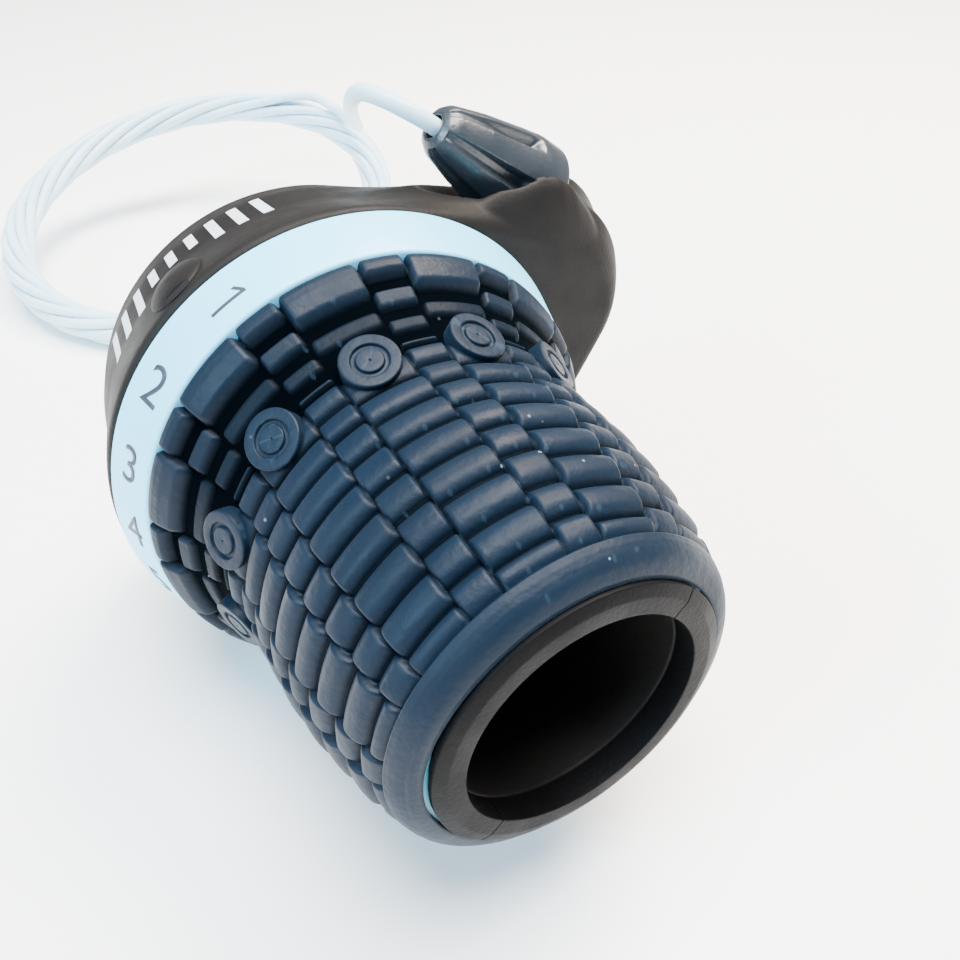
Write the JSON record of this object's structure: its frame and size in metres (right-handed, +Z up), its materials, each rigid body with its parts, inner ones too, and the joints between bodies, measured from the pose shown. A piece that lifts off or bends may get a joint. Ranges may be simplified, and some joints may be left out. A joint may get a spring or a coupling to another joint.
{
  "type": "twist-grip gear shifter",
  "caption": "Right-hand twist-grip gear shifter for a bicycle handlebar: ribbed rubber grip, numbered ring, cable horn with barrel adjuster, and a coiled inner cable.",
  "frame": {"origin": "on the handlebar axis, at the back face of the clamp collar", "axes": "+X along the handlebar axis from the clamp collar to the free end of the grip; +Z up, away from the flat foot under the housing; the cable horn bulges towards +Y"},
  "size_m": [0.1971, 0.0802, 0.0612],
  "materials": {
    "black_plastic": "fine satin moulding texture",
    "black_rubber": "matte, slightly dusty",
    "white_plastic": "satin white with a blue cast",
    "grey_plastic": "plain moulded acetal",
    "steel": "zinc plated",
    "cable_liner": "translucent white liner over the inner cable"
  },
  "bodies": {
    "housing": {"clamp_body": "black_plastic", "clamp_bolt": "steel", "clamp_nut": "steel", "housing_shell": "black_plastic", "cover_screw_1": "steel", "cover_screw_2": "steel", "retainer_half_left": "black_plastic", "retainer_half_right": "black_plastic", "slide_washer": "grey_plastic", "detent_spring": "steel", "detent_screw": "steel", "cable_guide": "grey_plastic", "cable_lead": "steel", "cable_strand": "cable_liner", "cable_tail": "cable_liner", "cable_end_cap": "steel", "cable_coil": "cable_liner"},
    "grip": {"twist_barrel": "white_plastic", "cable_spool": "grey_plastic", "grip_rubber": "black_rubber", "cable_nipple": "steel", "cable_wrap": "steel"},
    "adjuster_slider": {"adjuster_washer": "steel", "adjuster_spring": "steel"},
    "adjuster": {"barrel_adjuster": "black_plastic"}
  },
  "joints": [
    {"name": "grip_twist", "type": "hinge", "parent": "housing", "child": "grip", "pos_m": [0, 0, 0], "axis": [1, 0, 0], "range_deg": [-110, 0]},
    {"name": "adjuster_travel", "type": "slide", "parent": "housing", "child": "adjuster_slider", "axis": [0, -0.7915, 0.6112], "range_m": [0, 0.002]},
    {"name": "adjuster_turn", "type": "hinge", "parent": "adjuster_slider", "child": "adjuster", "pos_m": [0.019, 0.0268, 0.02135], "axis": [0, -0.7915, 0.6112], "range_deg": [0, 901]}
  ],
  "couplings": [
    {"joint": "adjuster_turn", "follows": "adjuster_travel", "rad_per_m": 7854}
  ]
}
